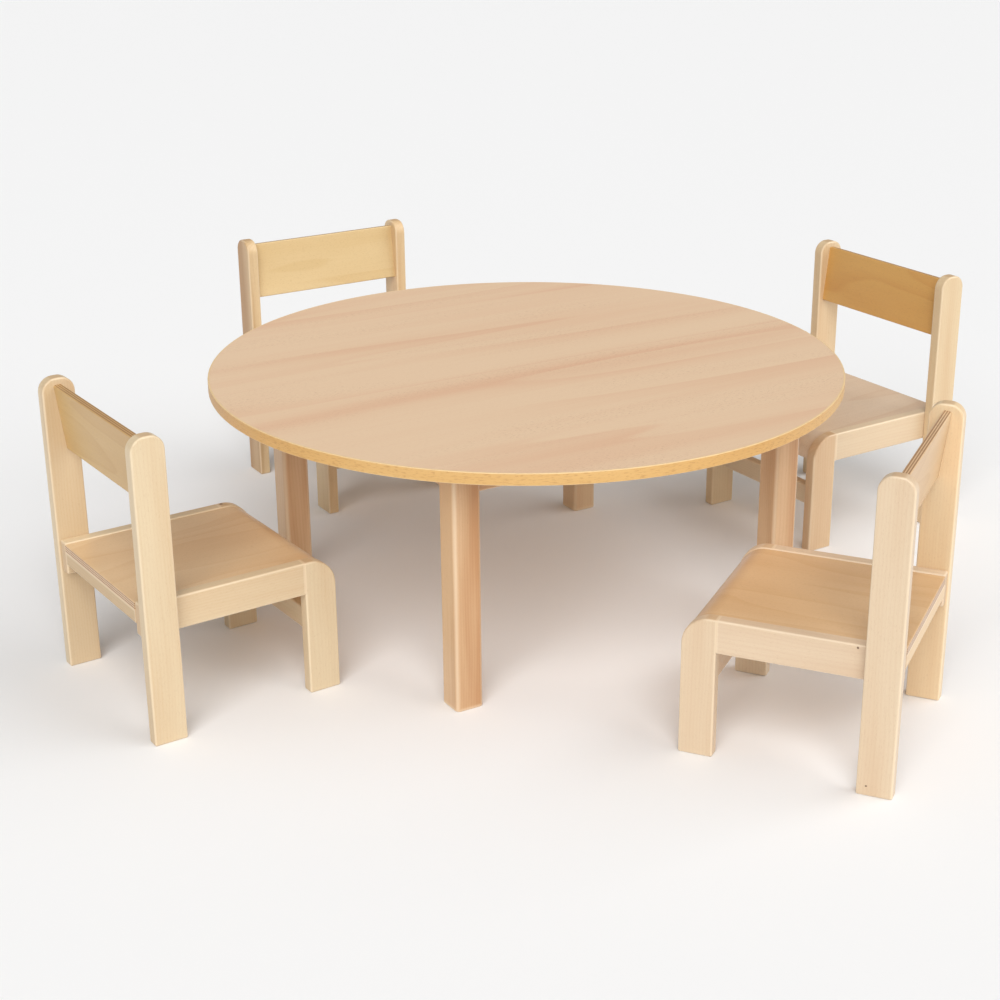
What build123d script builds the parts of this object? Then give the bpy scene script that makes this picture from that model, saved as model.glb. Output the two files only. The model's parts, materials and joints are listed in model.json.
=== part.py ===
from build123d import *
import math
import os

# A low round nursery table with four matching stacking chairs, all in beech.
#
# Millimetres. +Z is up and the floor is z = 0. X and Y run along the sides of the square
# that the table's legs stand on. The origin is on the floor, below the middle of the set.
# Each chair is built in its own frame, then turned and placed: its +Y points the way the
# sitter faces, +X to the sitter's right, and y = 0 is the back of its rear posts.

# ---- table: driving dimensions ----
TABLE_DIAMETER = 1000.0
TABLE_HEIGHT = 400.0
TOP_THICKNESS = 18.0
BAND_THICKNESS = 2.5
BAND_ROUNDING = 1.2
LEG_SQUARE = 620.0          # over the outsides of two legs
LEG_SECTION = 45.0
LEG_ROUNDING = 7.0
LEG_FOOT_ROUNDING = 2.0
APRON_HEIGHT = 50.0
APRON_THICKNESS = 20.0
APRON_ROUNDING = 2.0

# ---- table: joinery ----
BLOCK_HEIGHT = 40.0         # corner blocks, glued behind each leg
BLOCK_WING = 82.5           # how far a block runs along each apron
BLOCK_CLEARANCE = 1.0       # between a block's notch and the leg
BOLT_RADIUS = 4.0
BOLT_LENGTH = 76.0
BOLT_HEAD_RADIUS = 9.0
BOLT_HEAD_HEIGHT = 3.0
BOLT_SOCKET_RADIUS = 2.9    # round the corners of a hexagon socket
SCREW_RADIUS = 2.5
SCREW_HEAD_RADIUS = 5.0
SCREW_LENGTH = 50.0
SCREW_ALONG_APRON = 62.0    # from the leg's centre line
TABLE_DOWEL_RADIUS = 5.0
TABLE_DOWEL_LENGTH = 36.0
TABLE_DOWEL_IN_LEG = 16.0
TABLE_DOWEL_SPACING = 24.0

# ---- chair: driving dimensions ----
CHAIR_WIDTH = 330.0         # over the rear posts
CHAIR_DEPTH = 308.0
CHAIR_HEIGHT = 458.0
SEAT_HEIGHT = 210.0         # top of the side rails
BOARD_WIDTH = 50.0          # posts, side rails and front legs
BOARD_THICKNESS = 20.0
POST_TOP_RADIUS = 22.0
LEG_TOP_RADIUS = 42.0
ARRIS = 3.0                 # rounding along the edges of the boards
RAIL_SETBACK = 3.0          # from the back of the posts to the end of a rail
SEAT_THICKNESS = 12.0
SEAT_BELOW_RAIL = 1.5
SEAT_ARRIS = 2.0
REAR_RAIL_BOTTOM = 175.0
REAR_RAIL_THICKNESS = 20.0
STRETCHER_BOTTOM = 80.0
STRETCHER_HEIGHT = 35.0
STRETCHER_THICKNESS = 18.0
STRETCHER_BACK = 279.0
BACKREST_HEIGHT = 100.0
BACKREST_THICKNESS = 12.0
BACKREST_FOOT_Y = 29.0      # back of its lower edge
BACKREST_FOOT_Z = 348.0
BACKREST_TILT = 6.6         # degrees, its top further back than its foot
BACKREST_IN_POST = 6.0      # depth of the grooves that hold its ends
BACKREST_ARRIS = 2.0
CHAIR_DOWEL_RADIUS = 3.0
CHAIR_DOWEL_LENGTH = 30.0
POST_DOWELS = ((16.0, 42.0), (40.0, 10.0))   # y, and height above the rail's bottom
FRONT_LEG_DOWELS = (12.0, 32.0)              # heights above the rail's bottom
REAR_RAIL_DOWELS = ((-4.5, 6.5), (4.5, 15.5))   # y from its middle, and height above its bottom
STRETCHER_DOWELS = (0.25, 0.75)              # parts of its height
SEAT_DOWELS = (70.0, 140.0, 210.0)           # y

# ---- fits ----
GLUE_GAP = 0.05             # radial room round a dowel, bolt, screw or glued round
END_GAP = 0.3               # room at the bottom of a blind hole

# ---- where the chairs stand: x, y from the table's middle, and degrees turned from +Y ----
CHAIR_PLACES = {
    "left_chair": (-729.0, -10.0, -86.8),
    "front_chair": (193.0, -737.0, 35.5),
    "right_chair": (811.0, 43.0, 92.1),
    "rear_chair": (18.0, 801.0, 180.3),
}

# ---- worked out from the above ----
LEG_CENTRE = (LEG_SQUARE - LEG_SECTION) / 2
LEG_INSIDE = LEG_CENTRE - LEG_SECTION / 2
LEG_HEIGHT = TABLE_HEIGHT - TOP_THICKNESS
APRON_MIDDLE = LEG_HEIGHT - APRON_HEIGHT / 2
APRON_INSIDE = LEG_CENTRE - APRON_THICKNESS / 2
POST_INSIDE = CHAIR_WIDTH / 2 - BOARD_THICKNESS
RAIL_INSIDE = POST_INSIDE - BOARD_THICKNESS
RAIL_MIDDLE = POST_INSIDE - BOARD_THICKNESS / 2
RAIL_BOTTOM = SEAT_HEIGHT - BOARD_WIDTH
FRONT_LEG_BACK = CHAIR_DEPTH - BOARD_WIDTH
SEAT_TOP = SEAT_HEIGHT - SEAT_BELOW_RAIL
SEAT_BOTTOM = SEAT_TOP - SEAT_THICKNESS
REAR_RAIL_MIDDLE = RAIL_SETBACK + REAR_RAIL_THICKNESS / 2
STRETCHER_MIDDLE = STRETCHER_BACK + STRETCHER_THICKNESS / 2
FLAT = (Align.CENTER, Align.CENTER, Align.MIN)


def rod(start, direction, radius, length):
    """A round bar from a point along a direction."""
    return Plane(origin=start, z_dir=direction) * Cylinder(radius, length, align=FLAT)


def drill(shape, holes, radius, depth):
    """Blind holes, each given by its mouth and the direction that the drill goes."""
    for mouth, direction in holes:
        shape -= rod(mouth, direction, radius + GLUE_GAP, depth + END_GAP)
    return shape


def dowel(mouth, direction, radius, length, depth):
    """A dowel that goes `depth` past its joint's face, with chamfered ends."""
    start = Vector(*mouth) - Vector(*direction) * (length - depth)
    bar = rod(start, direction, radius, length)
    return chamfer(bar.edges().filter_by(GeomType.CIRCLE), radius / 5)


def group(shapes):
    """Separate solids in one node."""
    return Compound([solid for shape in shapes for solid in shape.solids()])


def turned(holes, degrees):
    """Holes' mouths and directions, turned about the table's middle."""
    return [(Vector(*mouth).rotate(Axis.Z, degrees), Vector(*direction).rotate(Axis.Z, degrees))
            for mouth, direction in holes]


# =========================== table ===========================

def table_top():
    """Round board, faced on both sides, up to the inside of its edge band."""
    board = Pos(0, 0, LEG_HEIGHT) * Cylinder(TABLE_DIAMETER / 2 - BAND_THICKNESS, TOP_THICKNESS, align=FLAT)
    for corner in range(4):
        screws = turned(screw_places(LEG_HEIGHT), 90 * corner)
        board = drill(board, screws, SCREW_RADIUS, SCREW_LENGTH - BLOCK_HEIGHT)
    return board


def table_edge_band():
    """Thin band glued round the edge of the top."""
    outside = Cylinder(TABLE_DIAMETER / 2, TOP_THICKNESS, align=FLAT)
    outside = fillet(outside.edges().filter_by(GeomType.CIRCLE), BAND_ROUNDING)
    inside = Cylinder(TABLE_DIAMETER / 2 - BAND_THICKNESS + GLUE_GAP, TOP_THICKNESS, align=FLAT)
    return Pos(0, 0, LEG_HEIGHT) * (outside - inside)


def apron_dowel_places():
    """Mouths of the holes in the front left leg for the dowels from its two aprons."""
    places = []
    for step in (-0.5, 0.5):
        z = APRON_MIDDLE + step * TABLE_DOWEL_SPACING
        places.append(((-LEG_INSIDE, -LEG_CENTRE, z), (-1, 0, 0)))
        places.append(((-LEG_CENTRE, -LEG_INSIDE, z), (0, -1, 0)))
    return places


def bolt_line():
    """Where the front left corner's bolt leaves its block, and the way it points."""
    offset = (APRON_INSIDE + LEG_INSIDE - BLOCK_WING + BLOCK_CLEARANCE) / 2
    return Vector(-offset, -offset, APRON_MIDDLE), Vector(-1, -1, 0).normalized()


def screw_places(height):
    """Places of the front left corner's two screws into the top, at a height."""
    across = APRON_INSIDE - SCREW_HEAD_RADIUS * 3
    along = LEG_CENTRE - SCREW_ALONG_APRON
    return [((-along, -across, height), (0, 0, 1)), ((-across, -along, height), (0, 0, 1))]


def table_leg():
    """Front left leg: square with rounded edges, drilled for its dowels and its bolt."""
    leg = Pos(-LEG_CENTRE, -LEG_CENTRE, 0) * Box(LEG_SECTION, LEG_SECTION, LEG_HEIGHT, align=FLAT)
    leg = fillet(leg.edges().filter_by(Axis.Z), LEG_ROUNDING)
    leg = fillet(leg.faces().sort_by(Axis.Z)[0].edges(), LEG_FOOT_ROUNDING)
    leg = drill(leg, apron_dowel_places(), TABLE_DOWEL_RADIUS, TABLE_DOWEL_IN_LEG)
    start, direction = bolt_line()
    return drill(leg, [(start, direction)], BOLT_RADIUS, BOLT_LENGTH)


def table_apron():
    """Front apron, between the two front legs, drilled at its ends."""
    apron = Pos(0, -LEG_CENTRE, APRON_MIDDLE) * Box(2 * LEG_INSIDE, APRON_THICKNESS, APRON_HEIGHT)
    lower = apron.faces().sort_by(Axis.Z)[0].edges().filter_by(Axis.X)
    apron = fillet(lower, APRON_ROUNDING)
    holes = []
    for side in (-1, 1):
        for step in (-0.5, 0.5):
            z = APRON_MIDDLE + step * TABLE_DOWEL_SPACING
            holes.append(((side * LEG_INSIDE, -LEG_CENTRE, z), (-side, 0, 0)))
    return drill(apron, holes, TABLE_DOWEL_RADIUS, TABLE_DOWEL_LENGTH - TABLE_DOWEL_IN_LEG)


def corner_block():
    """Front left block: a wedge between the two aprons with a notch for the leg's corner."""
    notch = LEG_INSIDE - BLOCK_CLEARANCE
    end = LEG_INSIDE - BLOCK_WING + BLOCK_CLEARANCE
    outline = Polyline((-notch, -APRON_INSIDE), (-end, -APRON_INSIDE), (-APRON_INSIDE, -end),
                       (-APRON_INSIDE, -notch), (-notch, -notch), close=True)
    block = Pos(0, 0, LEG_HEIGHT - BLOCK_HEIGHT) * extrude(make_face(outline), BLOCK_HEIGHT)
    start, direction = bolt_line()
    block -= rod(start, direction, BOLT_RADIUS + GLUE_GAP, BOLT_LENGTH)
    for mouth, direction in screw_places(LEG_HEIGHT - BLOCK_HEIGHT):
        block -= rod(mouth, direction, SCREW_RADIUS + GLUE_GAP, BLOCK_HEIGHT)
        block -= screw_head(mouth, GLUE_GAP)
    return block


def leg_bolt():
    """Bolt with a wide flat head and a hexagon socket, driven into the front left leg."""
    start, direction = bolt_line()
    outwards = direction * -1
    shank = rod(start, direction, BOLT_RADIUS, BOLT_LENGTH)
    head = rod(start, outwards, BOLT_HEAD_RADIUS, BOLT_HEAD_HEIGHT)
    far_edge = head.edges().filter_by(GeomType.CIRCLE).sort_by(Axis(tuple(start), tuple(outwards)))[-1]
    head = fillet(far_edge, BOLT_HEAD_HEIGHT / 3)
    mouth = Plane(origin=start + outwards * BOLT_HEAD_HEIGHT, z_dir=direction)
    socket = extrude(mouth * RegularPolygon(BOLT_SOCKET_RADIUS, 6), BOLT_HEAD_HEIGHT)
    return shank + head - socket


def screw_head(mouth, room=0.0):
    """Countersunk head of a screw that goes up, with its flat face at the mouth."""
    depth = SCREW_HEAD_RADIUS - SCREW_RADIUS
    return Pos(*mouth) * Cone(SCREW_HEAD_RADIUS + room, SCREW_RADIUS + room, depth, align=FLAT)


def top_screws():
    """The front left corner's two screws, up through the block and into the top."""
    screws = []
    for mouth, direction in screw_places(LEG_HEIGHT - BLOCK_HEIGHT):
        screws.append(rod(mouth, direction, SCREW_RADIUS, SCREW_LENGTH) + screw_head(mouth))
    return screws


def apron_dowels():
    """The front left leg's four dowels."""
    return [dowel(mouth, direction, TABLE_DOWEL_RADIUS, TABLE_DOWEL_LENGTH, TABLE_DOWEL_IN_LEG)
            for mouth, direction in apron_dowel_places()]


def table_nodes():
    """Every piece of the table. The four corners and the four sides are quarter turns."""
    corners = ("front_left", "front_right", "rear_right", "rear_left")
    sides = ("front", "right", "rear", "left")
    quarters = [Rot(0, 0, 90 * quarter) for quarter in range(4)]
    nodes = {"table_top": table_top(), "table_edge_band": table_edge_band()}
    leg, apron = table_leg(), table_apron()
    for quarter, corner, side in zip(quarters, corners, sides):
        nodes["table_leg_" + corner] = quarter * leg
        nodes["table_apron_" + side] = quarter * apron
    groups = {"table_corner_blocks": [corner_block()], "table_leg_bolts": [leg_bolt()],
              "table_top_screws": top_screws(), "table_dowels": apron_dowels()}
    for name, solids in groups.items():
        nodes[name] = group([quarter * solid for quarter in quarters for solid in solids])
    return nodes


# =========================== chair ===========================

def side_board(outline_face, inside):
    """A board in the chair's right side, from an outline seen from the sitter's right."""
    return extrude(Plane.YZ.offset(inside) * outline_face, BOARD_THICKNESS)


def rear_post_dowels():
    """Dowels from the rail's outer face into the right post."""
    return [((POST_INSIDE, y, RAIL_BOTTOM + height), (1, 0, 0)) for y, height in POST_DOWELS]


def front_leg_dowels():
    """Dowels from the end of the right rail into the front leg."""
    return [((RAIL_MIDDLE, FRONT_LEG_BACK, RAIL_BOTTOM + height), (0, 1, 0)) for height in FRONT_LEG_DOWELS]


def rear_rail_dowels():
    """Dowels from the end of the rear rail into the right rail."""
    return [((RAIL_INSIDE, REAR_RAIL_MIDDLE + y, REAR_RAIL_BOTTOM + height), (1, 0, 0))
            for y, height in REAR_RAIL_DOWELS]


def stretcher_dowels():
    """Dowels from the end of the front stretcher into the right front leg."""
    return [((RAIL_INSIDE, STRETCHER_MIDDLE, STRETCHER_BOTTOM + STRETCHER_HEIGHT * part), (1, 0, 0))
            for part in STRETCHER_DOWELS]


def seat_dowels():
    """Dowels from the seat's edge into the right rail."""
    return [((RAIL_INSIDE, y, SEAT_TOP - SEAT_THICKNESS / 2), (1, 0, 0)) for y in SEAT_DOWELS]


def drill_chair(shape, holes, towards_joint=1):
    """Half a dowel's length of hole, on the far side of the joint or (-1) on the near side."""
    holes = [(mouth, Vector(*direction) * towards_joint) for mouth, direction in holes]
    return drill(shape, holes, CHAIR_DOWEL_RADIUS, CHAIR_DOWEL_LENGTH / 2)


def mirrored(holes):
    """The same holes on the chair's left side."""
    return [((-mouth[0], mouth[1], mouth[2]), (-direction[0], direction[1], direction[2]))
            for mouth, direction in holes]


def backrest(room=0.0):
    """Flat plywood board, tilted back, with its ends in the posts. `room` grows it all round."""
    length = 2 * (POST_INSIDE + BACKREST_IN_POST - END_GAP + room)
    board = Box(length, BACKREST_THICKNESS + 2 * room, BACKREST_HEIGHT + 2 * room,
                align=(Align.CENTER, Align.MIN, Align.MIN))
    board = fillet(board.edges().filter_by(Axis.X), BACKREST_ARRIS + room)
    return Pos(0, BACKREST_FOOT_Y, BACKREST_FOOT_Z) * Rot(BACKREST_TILT, 0, 0) * Pos(0, -room, -room) * board


def rear_post():
    """Right rear post: an upright board with a rounded top, outside the side rail."""
    outline = Rectangle(BOARD_WIDTH, CHAIR_HEIGHT, align=Align.MIN)
    top_corners = outline.vertices().group_by(Axis.Y)[-1]
    post = side_board(fillet(top_corners, POST_TOP_RADIUS), POST_INSIDE)
    post = fillet(post.edges(), ARRIS)
    post -= backrest(GLUE_GAP)
    return drill_chair(post, rear_post_dowels())


def side_frame():
    """Right side rail and front leg, rounded as one board and then split at their joint."""
    outline = make_face(Polyline(
        (RAIL_SETBACK, RAIL_BOTTOM), (FRONT_LEG_BACK, RAIL_BOTTOM), (FRONT_LEG_BACK, 0),
        (CHAIR_DEPTH, 0), (CHAIR_DEPTH, SEAT_HEIGHT), (RAIL_SETBACK, SEAT_HEIGHT), close=True))
    front_corner = outline.vertices().sort_by(Axis((0, 0, 0), (1, 1, 0)))[-1]
    board = side_board(fillet(front_corner, LEG_TOP_RADIUS), RAIL_INSIDE)
    inner_corner = board.edges().filter_by(Axis.X).filter_by(
        lambda edge: abs(edge.center().Y - FRONT_LEG_BACK) < 1 and abs(edge.center().Z - RAIL_BOTTOM) < 1)
    board = fillet(board.edges() - inner_corner, ARRIS)
    joint = Plane(origin=(0, FRONT_LEG_BACK, 0), z_dir=(0, 1, 0))
    return split(board, bisect_by=joint, keep=Keep.BOTTOM), split(board, bisect_by=joint, keep=Keep.TOP)


def seat():
    """Moulded plywood seat between the rails, its front edge curved down between the legs."""
    centre = (CHAIR_DEPTH - LEG_TOP_RADIUS, SEAT_HEIGHT - LEG_TOP_RADIUS)
    outer = LEG_TOP_RADIUS - SEAT_BELOW_RAIL
    inner = outer - SEAT_THICKNESS
    lines = [
        Line((centre[0], SEAT_BOTTOM), (RAIL_SETBACK, SEAT_BOTTOM)),
        Line((RAIL_SETBACK, SEAT_BOTTOM), (RAIL_SETBACK, SEAT_TOP)),
        Line((RAIL_SETBACK, SEAT_TOP), (centre[0], SEAT_TOP)),
        CenterArc(centre, outer, 0, 90),
        Line((centre[0] + outer, centre[1]), (centre[0] + inner, centre[1])),
        CenterArc(centre, inner, 0, 90),
    ]
    width = 2 * (RAIL_INSIDE - GLUE_GAP)
    board = extrude(Plane.YZ.offset(-width / 2) * make_face(lines), width)
    across = board.edges().filter_by(Axis.X)
    lip = across.filter_by(lambda edge: edge.center().Z < centre[1] + 1)
    rear_top = across.filter_by(
        lambda edge: edge.center().Y < RAIL_SETBACK + 1 and edge.center().Z > SEAT_TOP - 1)
    board = fillet(lip + rear_top, SEAT_ARRIS)
    for holes in (seat_dowels(), mirrored(seat_dowels())):
        board = drill_chair(board, holes, -1)
    return board


def rear_rail():
    """Rail under the back edge of the seat, between the side rails."""
    height = SEAT_BOTTOM - REAR_RAIL_BOTTOM
    rail = Pos(0, RAIL_SETBACK, REAR_RAIL_BOTTOM) * Box(
        2 * RAIL_INSIDE, REAR_RAIL_THICKNESS, height, align=(Align.CENTER, Align.MIN, Align.MIN))
    rail = fillet(rail.faces().sort_by(Axis.Z)[0].edges().filter_by(Axis.X), ARRIS)
    for holes in (rear_rail_dowels(), mirrored(rear_rail_dowels())):
        rail = drill_chair(rail, holes, -1)
    return rail


def front_stretcher():
    """Low rail between the front legs."""
    bar = Pos(0, STRETCHER_BACK, STRETCHER_BOTTOM) * Box(
        2 * RAIL_INSIDE, STRETCHER_THICKNESS, STRETCHER_HEIGHT, align=(Align.CENTER, Align.MIN, Align.MIN))
    bar = fillet(bar.edges().filter_by(Axis.X), ARRIS)
    for holes in (stretcher_dowels(), mirrored(stretcher_dowels())):
        bar = drill_chair(bar, holes, -1)
    return bar


def chair_nodes():
    """Every piece of one chair, in the chair's own frame."""
    rail, leg = side_frame()
    rail = drill_chair(rail, rear_post_dowels() + front_leg_dowels(), -1)
    rail = drill_chair(rail, rear_rail_dowels() + seat_dowels())
    leg = drill_chair(leg, front_leg_dowels() + stretcher_dowels())
    right = {"rear_post": rear_post(), "side_rail": rail, "front_leg": leg}
    nodes = {}
    for name, solid in right.items():
        nodes[name + "_right"] = solid
        nodes[name + "_left"] = mirror(solid, about=Plane.YZ)
    places = (rear_post_dowels() + front_leg_dowels() + rear_rail_dowels()
              + stretcher_dowels() + seat_dowels())
    dowels = [dowel(mouth, direction, CHAIR_DOWEL_RADIUS, CHAIR_DOWEL_LENGTH, CHAIR_DOWEL_LENGTH / 2)
              for mouth, direction in places + mirrored(places)]
    nodes.update(seat=seat(), backrest=backrest(), rear_rail=rear_rail(),
                 front_stretcher=front_stretcher(), dowels=group(dowels))
    return nodes


# =========================== the set ===========================

def main():
    nodes = table_nodes()
    chair = chair_nodes()
    for name, (x, y, turn) in CHAIR_PLACES.items():
        for piece, shape in chair.items():
            nodes[name + "_" + piece] = Pos(x, y, 0) * Rot(0, 0, turn) * shape
    boxes = [shape.bounding_box() for shape in nodes.values()]
    middle_x = (min(box.min.X for box in boxes) + max(box.max.X for box in boxes)) / 2
    middle_y = (min(box.min.Y for box in boxes) + max(box.max.Y for box in boxes)) / 2
    print(f"table's middle: x {-middle_x:.3f}, y {-middle_y:.3f}")
    for name, (x, y, turn) in CHAIR_PLACES.items():
        forwards = (-math.sin(math.radians(turn)), math.cos(math.radians(turn)))
        print(f"{name}: at {x - middle_x:.3f}, {y - middle_y:.3f},",
              f"faces {forwards[0]:.6f}, {forwards[1]:.6f}")
    os.makedirs("parts", exist_ok=True)
    for name, shape in nodes.items():
        export_step(Pos(-middle_x, -middle_y, 0) * shape, f"parts/{name}.step")
    print(len(nodes), "nodes")


main()
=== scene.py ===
import json
import math
import random
import bpy
from mathutils import Euler, Matrix, Vector

# A round nursery table and four chairs in beech: procedural wood on every CAD piece, a plain
# pale floor, soft studio light and the camera. Metres, in the CAD model's frame.

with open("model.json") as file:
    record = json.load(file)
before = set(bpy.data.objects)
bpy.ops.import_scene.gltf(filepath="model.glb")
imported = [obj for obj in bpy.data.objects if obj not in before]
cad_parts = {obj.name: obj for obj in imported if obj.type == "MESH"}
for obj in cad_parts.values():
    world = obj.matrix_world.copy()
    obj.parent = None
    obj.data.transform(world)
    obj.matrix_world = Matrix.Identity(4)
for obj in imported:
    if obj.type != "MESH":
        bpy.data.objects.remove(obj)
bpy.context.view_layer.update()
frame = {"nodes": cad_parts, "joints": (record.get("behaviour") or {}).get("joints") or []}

CHAIRS = ("left_chair", "front_chair", "right_chair", "rear_chair")
UP, DEPTH, WIDTH = Vector((0, 0, 1)), Vector((0, 1, 0)), Vector((1, 0, 0))


def srgb(red, green, blue):
    """A colour given as it looks on a screen, 0 to 255, as Blender's linear RGBA."""
    def linear(value):
        value /= 255
        return value / 12.92 if value <= 0.04045 else ((value + 0.055) / 1.055) ** 2.4
    return linear(red), linear(green), linear(blue), 1.0


# =========================== how the pieces lie ===========================

def body_turn(body):
    """How the table or a chair is turned: a chair's own +Y is the way its sitter faces."""
    for joint in frame["joints"]:
        if joint["child"] == body:
            facing = Vector(joint["axis"]).normalized()
            return Matrix((facing.cross(UP), facing, UP)).transposed()
    return Matrix.Identity(3)


class Board:
    """A piece's own frame: x along its grain, y across it, z through its thickness."""

    def __init__(self, node, body, grain, across, tilt=0.0):
        """`grain` and `across` are directions in the body, and `tilt` leans them back."""
        axes = Matrix((grain, across, grain.cross(across))).transposed()
        turn = body_turn(body) @ Matrix.Rotation(tilt, 3, "X") @ axes
        local = [turn.transposed() @ vertex.co for vertex in frame["nodes"][node].data.vertices]
        low = Vector([min(point[axis] for point in local) for axis in range(3)])
        high = Vector([max(point[axis] for point in local) for axis in range(3)])
        self.node = node
        self.half = (high - low) / 2
        self.centre = turn @ ((low + high) / 2)
        self.turn = turn.to_euler()


# =========================== shorthand for material nodes ===========================

LACQUER = 0.25                  # the clear coat's weight
LACQUER_ROUGHNESS = 0.25
WOOD_BUMP_DISTANCE = 0.001
NOISE_MIDDLE = 0.5


class Tree:
    """One material's nodes."""

    def __init__(self, name):
        self.material = bpy.data.materials.new(name)
        self.material.use_nodes = True
        self.tree = self.material.node_tree
        self.tree.nodes.clear()

    def add(self, kind, inputs, **settings):
        """A node, with each input set to a value or joined to another node's output."""
        node = self.tree.nodes.new("ShaderNode" + kind)
        for setting, value in settings.items():
            setattr(node, setting, value)
        for key, value in inputs.items():
            if isinstance(value, bpy.types.NodeSocket):
                self.tree.links.new(value, node.inputs[key])
            else:
                node.inputs[key].default_value = value
        return node

    def math(self, operation, *values, clamp=False):
        node = self.add("Math", dict(enumerate(values)), operation=operation, use_clamp=clamp)
        return node.outputs[0]

    def vector(self, operation, *values):
        node = self.add("VectorMath", dict(enumerate(values)), operation=operation)
        return node.outputs["Value" if operation == "LENGTH" else "Vector"]

    def split(self, vector):
        return self.add("SeparateXYZ", {0: vector}).outputs

    def join(self, x, y, z):
        return self.add("CombineXYZ", {0: x, 1: y, 2: z}).outputs[0]

    def step(self, value, low, high):
        """0 below `low`, 1 above `high`, and smooth between, or falling if `low` is the higher."""
        inputs = {"Value": value, "From Min": low, "From Max": high}
        return self.add("MapRange", inputs, interpolation_type="SMOOTHSTEP").outputs[0]

    def noise(self, place, stretch, detail=2.0):
        """Noise with `stretch` features a metre along each of the board's axes."""
        scaled = self.vector("MULTIPLY", place, stretch)
        return self.add("TexNoise", {"Vector": scaled, "Scale": 1.0, "Detail": detail}).outputs[0]

    def sway(self, tone, noise, amount, clamp=False):
        """`tone`, deeper where the noise is above its middle and paler where it is below."""
        offset = self.math("SUBTRACT", noise, NOISE_MIDDLE)
        return self.math("MULTIPLY_ADD", offset, amount, tone, clamp=clamp)

    def mix(self, factor, first, second):
        node = self.add("Mix", {0: factor, 6: first, 7: second}, data_type="RGBA")
        return node.outputs[2]

    def tint(self, colour, mask, amount, other):
        """`colour`, with `amount` of another colour where the mask is 1."""
        return self.mix(self.math("MULTIPLY", mask, amount), colour, other)

    def object_place(self):
        """Metres in the CAD model's frame at rest, because a node's object is at its origin."""
        return self.add("TexCoord", {}).outputs["Object"]

    def board_place(self, board):
        """Metres from the board's middle, in the board's frame."""
        inputs = {"Vector": self.object_place(), "Location": board.centre, "Rotation": board.turn}
        return self.add("Mapping", inputs, vector_type="TEXTURE").outputs[0]

    def bump(self, height, distance, strength):
        return self.add("Bump", {"Height": height, "Distance": distance,
                                 "Strength": strength}).outputs[0]

    def shade(self, inputs):
        """The material, from its principled shader's inputs."""
        surface = self.add("BsdfPrincipled", inputs)
        self.add("OutputMaterial", {"Surface": surface.outputs[0]})
        return self.material

    def finish(self, colour, roughness, height, bump, coat=LACQUER):
        """Lacquered wood from its colour, roughness and the height of its surface."""
        return self.shade({"Base Color": colour, "Roughness": roughness,
                           "Normal": self.bump(height, WOOD_BUMP_DISTANCE, bump),
                           "Coat Weight": coat, "Coat Roughness": LACQUER_ROUGHNESS})


# =========================== wood ===========================

FLECK_RANGE = (0.60, 0.72)      # of the noise, from no fleck to a full one
FLECK_HEIGHT = -0.5             # they are sunk a little into the grain
WOOD_SPREAD = 9.0               # each board takes its noise from up to this far away

# ---- solid ----
BEECH_FLECK = srgb(176, 132, 92)
BEECH_END = srgb(198, 158, 112)
# Pale rounded edges: partly wear, partly a painted highlight of the lacquer.
WORN_AND_HIGHLIT_BEECH = srgb(250, 232, 202)
KNOT = srgb(96, 62, 40)
PITH_ACROSS = (0.05, 0.11)      # how far the log's pith is from the board's middle
PITH_THROUGH = (0.03, 0.09)
RING_SPACING = 0.0042           # between growth rings
RING_WARP = 0.022               # how far the rings stray from round
STREAK_TONE = 0.55              # how much each mark deepens the wood, from pale (0) to deep (1)
RING_TONE = 0.13
GRAIN_TONE = 0.2
FLECK_TINT = 0.2                # how much of its own colour each mark gives to the wood
END_TINT = 0.55
WORN_AND_HIGHLIGHT_TINT = 0.4
END_REACH = (0.0015, 0.0002)    # end grain starts and is full at these distances from an end
ARRIS_WIDTH = 0.0035
ARRIS_REACH = (1.0, 0.2)        # of its width: where a worn arris with its painted highlight starts, and where it is full
KNOT_REACH = (1.7, 0.9)         # of its size: where a knot starts, and where it is full
WOOD_ROUGHNESS = 0.36
GRAIN_ROUGHNESS = 0.16
WORN_ROUGHNESS = -0.08
BEECH_BUMP = 0.07


def worn_and_highlit_arris(tree, place, half, width):
    """1 along a board's rounded edges, where wear and a painted highlight go, and 0 on its faces."""
    near = [tree.step(tree.math("ABSOLUTE", value), *[size - width * reach for reach in ARRIS_REACH])
            for value, size in zip(tree.split(place), half)]
    edges = [tree.math("MULTIPLY", near[first], near[second])
             for first, second in ((0, 1), (1, 2), (0, 2))]
    return tree.math("MAXIMUM", tree.math("MAXIMUM", edges[0], edges[1]), edges[2])


def beech_tone(tree, board, place, log, grain, streaks):
    """How deep the wood is, 0 to 1, from its streaks, rings, painted light and shade on its sides,
    and grain.
    """
    streak = tree.noise(log, (1.8, 22, 22), detail=4.0)
    warp = tree.noise(log, (3.0, 10, 10), detail=2.0)
    across, through = tree.split(log)[1:3]
    radius = tree.vector("LENGTH", tree.join(0.0, across, through))
    radius = tree.math("MULTIPLY_ADD", warp, RING_WARP, radius)
    ring = tree.math("SINE", tree.math("MULTIPLY", radius, 2 * math.pi / RING_SPACING))
    tone = tree.math("MULTIPLY", tree.step(streak, 0.32, 0.72), streaks)
    tone = tree.math("MULTIPLY_ADD", tree.step(ring, -0.2, 1.0), RING_TONE, tone)
    # Painted light and shade: one side of the board paler, the other deeper.
    sides = zip(tree.split(place)[1:3], board.half[1:3], SIDE_LIGHT_AND_SHADE.get(board.node, ()))
    for offset, size, amount in sides:
        tone = tree.math("MULTIPLY_ADD", offset, amount / size, tone)
    return tree.sway(tone, grain, GRAIN_TONE, clamp=True)


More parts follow.
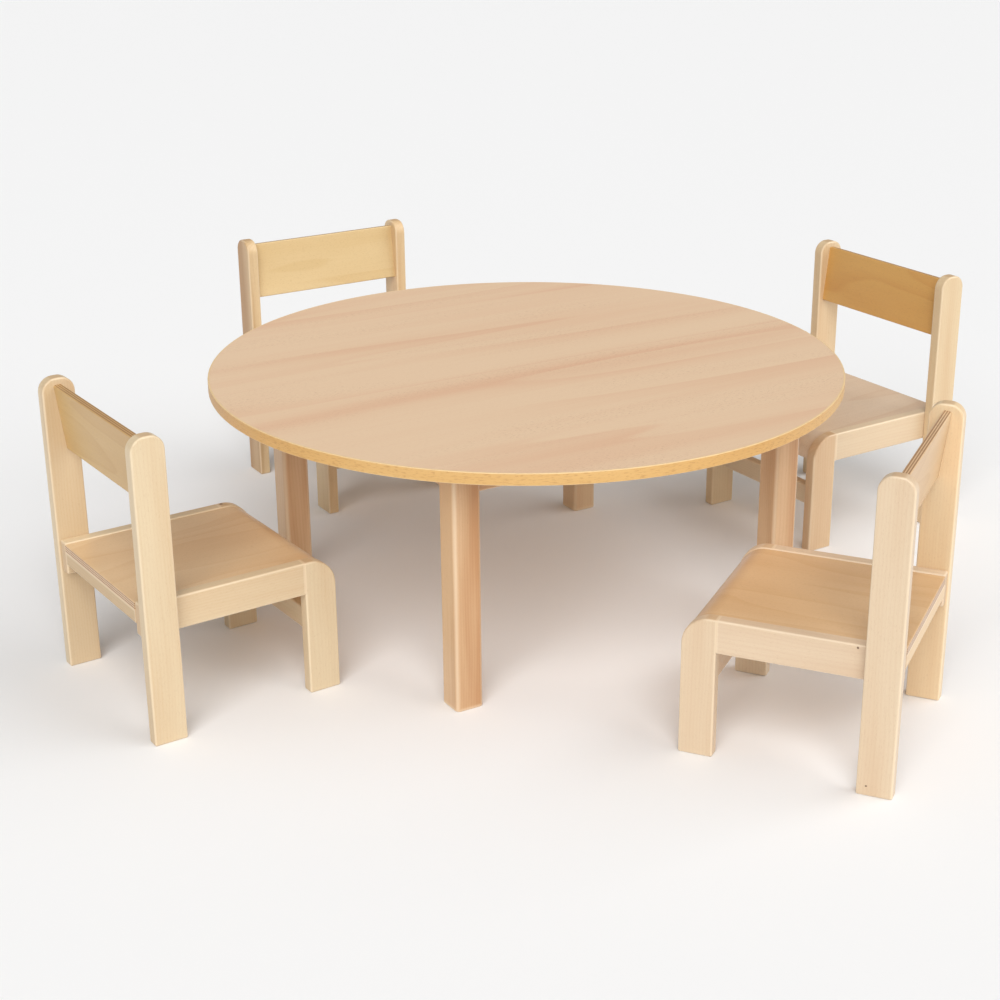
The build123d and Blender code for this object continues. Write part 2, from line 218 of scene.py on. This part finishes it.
def solid_beech(board, colours, seed, streaks=STREAK_TONE, arris=ARRIS_WIDTH):
    """Solid lacquered beech, cut from a log with its own rings, flecks and streaks."""
    # A board's own colours here are mostly painted light and shade.
    pale, deep = BOARD_TONES_AND_PAINTED_LIGHT.get(board.node, colours)
    chance = random.Random(seed)
    tree = Tree("beech_" + board.node)
    place = tree.board_place(board)
    pith = (chance.uniform(-WOOD_SPREAD, WOOD_SPREAD),
            chance.choice((-1, 1)) * chance.uniform(*PITH_ACROSS),
            chance.choice((-1, 1)) * chance.uniform(*PITH_THROUGH))
    log = tree.vector("ADD", place, pith)
    fleck = tree.step(tree.noise(log, (210, 1500, 1500), detail=1.0), *FLECK_RANGE)
    grain = tree.noise(log, (9, 420, 420), detail=3.0)
    colour = tree.mix(beech_tone(tree, board, place, log, grain, streaks), pale, deep)
    colour = tree.tint(colour, fleck, FLECK_TINT, BEECH_FLECK)
    from_middle = tree.math("ABSOLUTE", tree.split(place)[0])
    end = tree.step(from_middle, *[board.half.x - reach for reach in END_REACH])
    colour = tree.tint(colour, end, END_TINT, BEECH_END)
    # Rounded edges painted paler: wear, and a painted highlight.
    worn_and_highlit = worn_and_highlit_arris(tree, place, board.half, arris)
    colour = tree.tint(colour, worn_and_highlit, WORN_AND_HIGHLIGHT_TINT, WORN_AND_HIGHLIT_BEECH)
    for spot, size in KNOTS.get(board.node, ()):
        away = tree.vector("LENGTH", tree.vector("SUBTRACT", place, spot))
        away = tree.math("MULTIPLY_ADD", tree.noise(log, (300, 300, 300)), size, away)
        colour = tree.mix(tree.step(away, *[size * reach for reach in KNOT_REACH]), colour, KNOT)
    roughness = tree.math("MULTIPLY_ADD", grain, GRAIN_ROUGHNESS, WOOD_ROUGHNESS)
    roughness = tree.math("MULTIPLY_ADD", worn_and_highlit, WORN_ROUGHNESS, roughness)
    height = tree.math("MULTIPLY_ADD", fleck, FLECK_HEIGHT, grain)
    return tree.finish(colour, roughness, height, BEECH_BUMP)


# ---- plywood ----
VENEER_FLECK = srgb(150, 104, 64)
VENEER_BEND = 0.06              # how far the rings' long curves swing across the grain
VENEER_RINGS = 6                # in the whole range of the noise they follow
RING_RISE = 2.5                 # the power by which a ring darkens towards its line
RING_LINE = (1.0, 0.93)         # of a ring: where its line has ended, and where it is full
VENEER_WARP_TONE = 0.5
VENEER_RING_TONE = 0.4
VENEER_GRAIN_TONE = 0.25
VENEER_FLECK_TINT = 0.25
PLY_END_PALE, PLY_END_DEEP = srgb(168, 114, 66), srgb(124, 80, 46)
PLY_END_TINT = 0.85
GLUE = srgb(120, 82, 50)
GLUE_TINT = 0.35
GLUE_RANGE = (0.42, 0.5)        # of a layer, from its middle: where glue starts and is full
FACE_SKIN = 0.0002              # a depth that is surely in the face veneer
GLUE_DEPTH = (0.0006, 0.0009)   # below a face: where glue lines start to show and are full
PLY_ROUGHNESS = 0.38
PLY_GRAIN_ROUGHNESS = 0.12
PLY_BUMP = 0.06


def ring_bands(tree, place, stretch, rings):
    """Flat-cut growth rings: each darkens slowly and ends at a crisp line."""
    field = tree.noise(place, stretch, detail=1.5)
    phase = tree.math("FRACT", tree.math("MULTIPLY", field, rings))
    rise = tree.math("POWER", phase, RING_RISE)
    return tree.math("MULTIPLY", rise, tree.step(phase, *RING_LINE))


def bend_grain(tree, place, warp, swing):
    """The place moved across the grain by the noise, so that straight marks wander."""
    return tree.vector("ADD", place, tree.join(0.0, tree.math("MULTIPLY", warp, swing), 0.0))


def veneer_face(tree, place, pale, deep):
    """Colour and height of a rotary-cut beech veneer, with long soft cathedrals."""
    warp = tree.noise(place, (2.2, 9, 9), detail=2.0)
    bent = bend_grain(tree, place, warp, VENEER_BEND)
    figure = ring_bands(tree, bent, (1.3, 11, 1), VENEER_RINGS)
    fleck = tree.step(tree.noise(place, (190, 1400, 1), detail=1.0), *FLECK_RANGE)
    grain = tree.noise(place, (9, 380, 1), detail=3.0)
    tone = tree.math("MULTIPLY", figure, VENEER_RING_TONE)
    tone = tree.math("MULTIPLY_ADD", tree.step(warp, 0.3, 0.7), VENEER_WARP_TONE, tone)
    tone = tree.sway(tone, grain, VENEER_GRAIN_TONE, clamp=True)
    colour = tree.tint(tree.mix(tone, pale, deep), fleck, VENEER_FLECK_TINT, VENEER_FLECK)
    return colour, tree.math("MULTIPLY_ADD", fleck, FLECK_HEIGHT, grain)


def plywood(tree, place, depth, thickness, layers, pale, deep, coat=LACQUER):
    """Plywood: face veneers, and layers with their grain by turns along and across."""
    colour, height = veneer_face(tree, place, pale, deep)
    depth = tree.math("MINIMUM", tree.math("MAXIMUM", depth, FACE_SKIN), thickness - FACE_SKIN)
    layer = tree.math("MULTIPLY", depth, layers / thickness)
    odd = tree.math("FRACT", tree.math("MULTIPLY", tree.math("FLOOR", layer), 0.5))
    crosswise = tree.step(odd, 0.2, 0.3)
    speckle = tree.noise(place, (900, 900, 900), detail=1.0)
    end_grain = tree.mix(speckle, PLY_END_PALE, PLY_END_DEEP)
    colour = tree.tint(colour, crosswise, PLY_END_TINT, end_grain)
    from_middle = tree.math("ABSOLUTE", tree.math("SUBTRACT", tree.math("FRACT", layer), 0.5))
    glue = tree.math("MULTIPLY", tree.step(from_middle, *GLUE_RANGE), GLUE_TINT)
    below_top = tree.step(depth, *GLUE_DEPTH)
    above_bottom = tree.step(depth, *[thickness - reach for reach in GLUE_DEPTH])
    inside = tree.math("MULTIPLY", below_top, above_bottom)
    colour = tree.mix(tree.math("MULTIPLY", glue, inside), colour, GLUE)
    roughness = tree.math("MULTIPLY_ADD", height, PLY_GRAIN_ROUGHNESS, PLY_ROUGHNESS)
    return tree.finish(colour, roughness, height, PLY_BUMP, coat)


# =========================== chairs ===========================

SEAT_CURVE_RADIUS = 0.0405      # of the seat's top where it turns down at the front
SEAT_THICKNESS = 0.012
SEAT_LAYERS = 7
SEAT_LACQUER = 0.5
BACKREST_THICKNESS = 0.012
BACKREST_LAYERS = 7
BACKREST_TILT = math.radians(6.6)

# Each chair's wood, as pale and deep colours. The posts and legs of one set are cut from other
# boards than the rails, and each moulded seat and backrest has a veneer of its own.
LEG_COLOURS = {
    "left_chair": (srgb(220, 199, 164), srgb(207, 175, 134)),
    "front_chair": (srgb(224, 201, 170), srgb(210, 176, 140)),
    "right_chair": (srgb(220, 196, 158), srgb(206, 170, 128)),
    "rear_chair": (srgb(221, 193, 150), srgb(204, 163, 116)),
}
RAIL_COLOURS = {
    "left_chair": (srgb(220, 198, 162), srgb(207, 174, 134)),
    "front_chair": (srgb(224, 200, 170), srgb(209, 175, 142)),
    "right_chair": (srgb(223, 202, 170), srgb(210, 178, 142)),
    "rear_chair": (srgb(214, 184, 146), srgb(198, 158, 116)),
}
SEAT_COLOURS = {
    "left_chair": (srgb(226, 193, 150), srgb(212, 171, 123)),
    "front_chair": (srgb(224, 188, 144), srgb(210, 167, 118)),
    "right_chair": (srgb(226, 202, 174), srgb(212, 178, 144)),
    "rear_chair": (srgb(224, 192, 150), srgb(210, 170, 124)),
}
BACK_COLOURS = {
    "left_chair": (srgb(209, 175, 118), srgb(193, 151, 94)),
    "front_chair": (srgb(224, 192, 152), srgb(208, 170, 126)),
    "right_chair": (srgb(214, 166, 94), srgb(198, 140, 70)),
    "rear_chair": (srgb(224, 198, 150), srgb(210, 178, 124)),
}
DOWEL_COLOURS = srgb(228, 200, 160), srgb(205, 170, 126)
# Boards that are darker, paler or more golden than the rest of their chair or table. Most of this is
# painted light and shade: the front chair's right rear post and rear rail and the table's rear right
# leg are painted paler, as if lit, and the left chair's rear rail and the rear chair's right rear
# post are painted deeper, as in shade. The right chair's front left leg is a deeper board, and is
# painted deeper still for shade.
BOARD_TONES_AND_PAINTED_LIGHT = {
    "right_chair_front_leg_left": (srgb(218, 188, 150), srgb(200, 156, 114)),
    "left_chair_rear_rail": (srgb(212, 186, 144), srgb(196, 160, 114)),
    "rear_chair_rear_post_right": (srgb(221, 193, 150), srgb(182, 140, 94)),
    "front_chair_rear_post_right": (srgb(234, 208, 168), srgb(222, 186, 142)),
    "front_chair_rear_rail": (srgb(234, 202, 156), srgb(220, 180, 130)),
    "table_leg_rear_right": (srgb(228, 196, 156), srgb(208, 162, 118)),
}
# Painted light, shade and reflection on a board's sides: how much paler (-) or deeper (+) a board
# gets towards its y and z sides.
SIDE_LIGHT_AND_SHADE = {
    "table_leg_front_left": (0.35, -0.25),
    "table_leg_front_right": (0.1, -0.2),
    "left_chair_rear_post_left": (0.0, -0.35),
    "rear_chair_rear_post_right": (-0.3, -0.5),
}
# Pin knots: the piece, and where and how big, in metres from the board's middle.
KNOTS = {
    "left_chair_front_leg_left": (((0.105, -0.019, 0.0034), 0.003),),
    "front_chair_rear_post_left": (((-0.214, 0.011, 0.010), 0.0016),),
    "front_chair_side_rail_left": (((-0.0665, 0.0205, -0.010), 0.0018),),
}


def own_veneer(tree, along, across, seed):
    """Where a veneer takes its noise from, so that no two are alike."""
    chance = random.Random(seed)
    offsets = [chance.uniform(-WOOD_SPREAD, WOOD_SPREAD) for axis in range(3)]
    return tree.join(tree.math("ADD", along, offsets[0]), tree.math("ADD", across, offsets[1]),
                     offsets[2])


def seat_material(chair, seed):
    """Moulded plywood: its grain runs from back to front and down round the front edge."""
    tree = Tree("beech_ply_" + chair + "_seat")
    board = Board(chair + "_seat", chair, DEPTH, WIDTH)
    along, across, through = tree.split(tree.board_place(board))
    # `through` is towards the seat's underside, because grain x across points down.
    bend_start = board.half.x - SEAT_CURVE_RADIUS
    past = tree.math("MAXIMUM", tree.math("SUBTRACT", along, bend_start), 0.0)
    above = tree.math("SUBTRACT", SEAT_CURVE_RADIUS - board.half.z, through)
    radius = tree.vector("LENGTH", tree.join(past, above, 0.0))
    depth = tree.math("SUBTRACT", SEAT_CURVE_RADIUS, radius)
    around = tree.math("MULTIPLY", tree.math("ARCTAN2", past, above), SEAT_CURVE_RADIUS)
    length = tree.math("ADD", tree.math("MINIMUM", along, bend_start), around)
    place = own_veneer(tree, length, across, seed)
    return plywood(tree, place, depth, SEAT_THICKNESS, SEAT_LAYERS, *SEAT_COLOURS[chair],
                   coat=SEAT_LACQUER)


def backrest_material(chair, seed):
    """Flat plywood with its grain along its length."""
    tree = Tree("beech_ply_" + chair + "_backrest")
    board = Board(chair + "_backrest", chair, WIDTH, UP, BACKREST_TILT)
    along, across, through = tree.split(tree.board_place(board))
    depth = tree.math("ADD", through, BACKREST_THICKNESS / 2)
    place = own_veneer(tree, along, across, seed)
    return plywood(tree, place, depth, BACKREST_THICKNESS, BACKREST_LAYERS, *BACK_COLOURS[chair])


def dress(node, material):
    """Gives a CAD piece its one material."""
    slots = frame["nodes"][node].data.materials
    slots.clear()
    slots.append(material)


def dress_chair(chair, seed):
    for side in ("_right", "_left"):
        for piece, grain, across, colours in (
                ("_rear_post", UP, DEPTH, LEG_COLOURS[chair]),
                ("_front_leg", UP, DEPTH, LEG_COLOURS[chair]),
                ("_side_rail", DEPTH, UP, RAIL_COLOURS[chair])):
            seed += 1
            board = Board(chair + piece + side, chair, grain, across)
            dress(board.node, solid_beech(board, colours, seed))
    for piece, colours in (("_rear_rail", RAIL_COLOURS[chair]),
                           ("_front_stretcher", RAIL_COLOURS[chair]),
                           ("_dowels", DOWEL_COLOURS)):
        seed += 1
        board = Board(chair + piece, chair, WIDTH, UP)
        dress(board.node, solid_beech(board, colours, seed))
    dress(chair + "_seat", seat_material(chair, seed + 1))
    dress(chair + "_backrest", backrest_material(chair, seed + 2))


# =========================== table ===========================

TABLE_COLOURS = srgb(220, 184, 143), srgb(194, 145, 100)
TABLE_STREAK_TONE = 0.8
TABLE_LEG_ARRIS = 0.007

LAMINATE_PALE, LAMINATE_DEEP = srgb(231, 200, 166), srgb(219, 168, 133)
LAMINATE_FLECK = srgb(170, 122, 88)
LAMINATE_BEND = 0.02
LAMINATE_RINGS = 6
LAMINATE_RING_TONE = 0.45
LAMINATE_WIDE_TONE = 0.3        # of broad streaks
LAMINATE_NARROW_TONE = 0.35     # of thin ones
LAMINATE_GRAIN_TONE = 0.2
LAMINATE_FLECK_TINT = 0.1       # everywhere
LAMINATE_PATCH_TINT = 0.3       # more, in patches
LAMINATE_ROUGHNESS = 0.4
LAMINATE_GRAIN_ROUGHNESS = 0.1
LAMINATE_BUMP = 0.03

BAND_PALE, BAND_DEEP = srgb(228, 188, 124), srgb(208, 160, 92)
BAND_FLECK = srgb(176, 122, 66)
BAND_WORN_AND_HIGHLIGHT = srgb(250, 228, 184)
BAND_PATCH_TONE = 0.5
BAND_GRAIN_TONE = 0.6
BAND_FLECK_TINT = 0.45
BAND_WORN_AND_HIGHLIGHT_TINT = 0.5
BAND_WORN_AND_HIGHLIGHT_REACH = (0.0016, 0.0004)      # from the band's upper or lower edge
BAND_ROUGHNESS = 0.38
BAND_GRAIN_ROUGHNESS = 0.15
BAND_BUMP = 0.05
BAND_LACQUER = 0.05

STEEL_DARK, STEEL_BRIGHT = (0.48, 0.48, 0.46, 1), (0.66, 0.65, 0.62, 1)
STEEL_ROUGHNESS = 0.25
STEEL_MOTTLE_ROUGHNESS = 0.25
STEEL_BUMP_DISTANCE = 0.0005
STEEL_BUMP = 0.1


def laminate():
    """Beech laminate on the round top: long soft streaks and fine flecks, running along X."""
    board = Board("table_top", "table", WIDTH, DEPTH)
    tree = Tree("beech_laminate")
    place = tree.board_place(board)
    bent = bend_grain(tree, place, tree.noise(place, (1.5, 6, 1), detail=2.0), LAMINATE_BEND)
    bands = ring_bands(tree, bent, (0.4, 5.5, 1), LAMINATE_RINGS)
    shown = tree.step(tree.noise(place, (0.8, 9, 1), detail=1.0), 0.38, 0.62)
    wide = tree.step(tree.noise(bent, (0.7, 8, 1), detail=2.0), 0.40, 0.72)
    narrow = tree.noise(bent, (1.4, 60, 1), detail=3.0)
    flecked = tree.step(tree.noise(place, (1.6, 12, 1), detail=1.0), 0.45, 0.62)
    fleck = tree.step(tree.noise(place, (150, 900, 1), detail=1.0), 0.58, 0.70)
    grain = tree.noise(place, (8, 420, 1), detail=2.0)
    tone = tree.math("MULTIPLY", tree.math("MULTIPLY", bands, shown), LAMINATE_RING_TONE)
    tone = tree.math("MULTIPLY_ADD", wide, LAMINATE_WIDE_TONE, tone)
    tone = tree.sway(tone, narrow, LAMINATE_NARROW_TONE)
    tone = tree.sway(tone, grain, LAMINATE_GRAIN_TONE, clamp=True)
    strength = tree.math("MULTIPLY_ADD", flecked, LAMINATE_PATCH_TINT, LAMINATE_FLECK_TINT)
    colour = tree.mix(tone, LAMINATE_PALE, LAMINATE_DEEP)
    colour = tree.tint(colour, fleck, strength, LAMINATE_FLECK)
    roughness = tree.math("MULTIPLY_ADD", grain, LAMINATE_GRAIN_ROUGHNESS, LAMINATE_ROUGHNESS)
    return tree.finish(colour, roughness, grain, LAMINATE_BUMP, coat=0.0)


def edge_band():
    """Golden beech band with fine level grain, pale along its upper and lower edges from wear and a
    painted highlight.
    """
    board = Board("table_edge_band", "table", WIDTH, DEPTH)
    tree = Tree("beech_edge_band")
    place = tree.board_place(board)
    grain = tree.noise(place, (9, 9, 900), detail=3.0)
    fleck = tree.step(tree.noise(place, (120, 120, 800), detail=2.0), 0.54, 0.66)
    patch = tree.noise(place, (4, 4, 60), detail=2.0)
    tone = tree.math("MULTIPLY", grain, BAND_GRAIN_TONE)
    tone = tree.math("MULTIPLY_ADD", patch, BAND_PATCH_TONE, tone, clamp=True)
    colour = tree.tint(tree.mix(tone, BAND_PALE, BAND_DEEP), fleck, BAND_FLECK_TINT, BAND_FLECK)
    from_middle = tree.math("ABSOLUTE", tree.split(place)[2])
    # Wear and a painted highlight along the band's upper and lower edges.
    arris = tree.step(from_middle, *[board.half.z - reach for reach in BAND_WORN_AND_HIGHLIGHT_REACH])
    colour = tree.tint(colour, arris, BAND_WORN_AND_HIGHLIGHT_TINT, BAND_WORN_AND_HIGHLIGHT)
    roughness = tree.math("MULTIPLY_ADD", grain, BAND_GRAIN_ROUGHNESS, BAND_ROUGHNESS)
    return tree.finish(colour, roughness, grain, BAND_BUMP, coat=BAND_LACQUER)


def zinc_steel():
    """Zinc-plated steel of the bolts and screws, with a faint mottle."""
    tree = Tree("zinc_steel")
    mottle = tree.noise(tree.object_place(), (260, 260, 260), detail=3.0)
    roughness = tree.math("MULTIPLY_ADD", mottle, STEEL_MOTTLE_ROUGHNESS, STEEL_ROUGHNESS)
    return tree.shade({"Base Color": tree.mix(mottle, STEEL_DARK, STEEL_BRIGHT),
                       "Roughness": roughness, "Metallic": 1.0,
                       "Normal": tree.bump(mottle, STEEL_BUMP_DISTANCE, STEEL_BUMP)})


def dress_table(seed):
    for corner in ("front_left", "front_right", "rear_right", "rear_left"):
        seed += 1
        board = Board("table_leg_" + corner, "table", UP, WIDTH)
        dress(board.node, solid_beech(board, TABLE_COLOURS, seed, TABLE_STREAK_TONE,
                                      TABLE_LEG_ARRIS))
    for side, grain in (("front", WIDTH), ("right", DEPTH), ("rear", WIDTH), ("left", DEPTH)):
        seed += 1
        board = Board("table_apron_" + side, "table", grain, UP)
        dress(board.node, solid_beech(board, TABLE_COLOURS, seed, TABLE_STREAK_TONE))
    for node in ("table_corner_blocks", "table_dowels"):
        dress(node, solid_beech(Board(node, "table", WIDTH, UP), TABLE_COLOURS, seed + 1))
    dress("table_top", laminate())
    dress("table_edge_band", edge_band())
    steel = zinc_steel()
    dress("table_leg_bolts", steel)
    dress("table_top_screws", steel)


# =========================== floor, light and camera ===========================

FLOOR_SIZE = 300.0
FLOOR_COLOUR = (0.9, 0.9, 0.9, 1)
FLOOR_ROUGHNESS = 0.9
WORLD_STRENGTH = 0.28
BACKDROP_STRENGTH = 0.85        # of the world where it is seen, beyond the floor's far edge
# A sun's light comes from a direction, and its angle makes its shadows soft.
KEY_LIGHT = {"come_from": (-0.62, -0.82, 0.9), "strength": 2.35, "angle": math.radians(45)}
FILL_LIGHT = {"come_from": (0.9, -0.7, 0.8), "strength": 1.4, "angle": math.radians(60)}
CAMERA_PLACE = Vector((-1.5256, -2.4140, 1.2817))
CAMERA_AZIMUTH = math.radians(31.926)       # from +Y towards +X
CAMERA_PITCH = math.radians(22.135)         # down
CAMERA_SENSOR = 36.0                        # mm
CAMERA_LENS = 67.378                        # mm
CAMERA_SHIFT = (-0.04137, 0.02424)


def add_floor():
    mesh = bpy.data.meshes.new("floor")
    half = FLOOR_SIZE / 2
    corners = [(-half, -half, 0), (half, -half, 0), (half, half, 0), (-half, half, 0)]
    mesh.from_pydata(corners, [], [(0, 1, 2, 3)])
    floor = bpy.data.objects.new("floor", mesh)
    bpy.context.scene.collection.objects.link(floor)
    material = Tree("pale_floor").shade({"Base Color": FLOOR_COLOUR, "Roughness": FLOOR_ROUGHNESS})
    mesh.materials.append(material)


def add_sun(name, come_from, strength, angle):
    """A distant soft light, so that the floor is evenly lit."""
    light = bpy.data.lights.new(name, "SUN")
    light.energy = strength
    light.angle = angle
    lamp = bpy.data.objects.new(name, light)
    lamp.rotation_euler = Vector(come_from).to_track_quat("Z", "Y").to_euler()
    bpy.context.scene.collection.objects.link(lamp)


def add_lights():
    """Two suns, and a white world that lights softly and is seen nearly as pale as the floor."""
    world = bpy.data.worlds.new("studio")
    world.use_nodes = True
    nodes, links = world.node_tree.nodes, world.node_tree.links
    background = nodes["Background"].inputs
    background["Color"].default_value = (1, 1, 1, 1)
    strength = nodes.new("ShaderNodeMapRange")
    strength.inputs["To Min"].default_value = WORLD_STRENGTH
    strength.inputs["To Max"].default_value = BACKDROP_STRENGTH
    links.new(nodes.new("ShaderNodeLightPath").outputs["Is Camera Ray"], strength.inputs["Value"])
    links.new(strength.outputs[0], background["Strength"])
    bpy.context.scene.world = world
    add_sun("key", **KEY_LIGHT)
    add_sun("fill", **FILL_LIGHT)


def add_camera():
    camera = bpy.data.cameras.new("camera")
    camera.sensor_width = CAMERA_SENSOR
    camera.lens = CAMERA_LENS
    camera.shift_x, camera.shift_y = CAMERA_SHIFT
    viewer = bpy.data.objects.new("camera", camera)
    viewer.location = CAMERA_PLACE
    viewer.rotation_euler = Euler((math.pi / 2 - CAMERA_PITCH, 0, -CAMERA_AZIMUTH))
    bpy.context.scene.collection.objects.link(viewer)
    bpy.context.scene.camera = viewer


# =========================== the scene ===========================

TABLE_SEED = 100
FIRST_CHAIR_SEED = 200
CHAIR_SEED_STEP = 50

dress_table(TABLE_SEED)
for number, chair in enumerate(CHAIRS):
    dress_chair(chair, FIRST_CHAIR_SEED + CHAIR_SEED_STEP * number)
add_floor()
add_lights()
add_camera()
bpy.context.scene.view_settings.view_transform = "Standard"
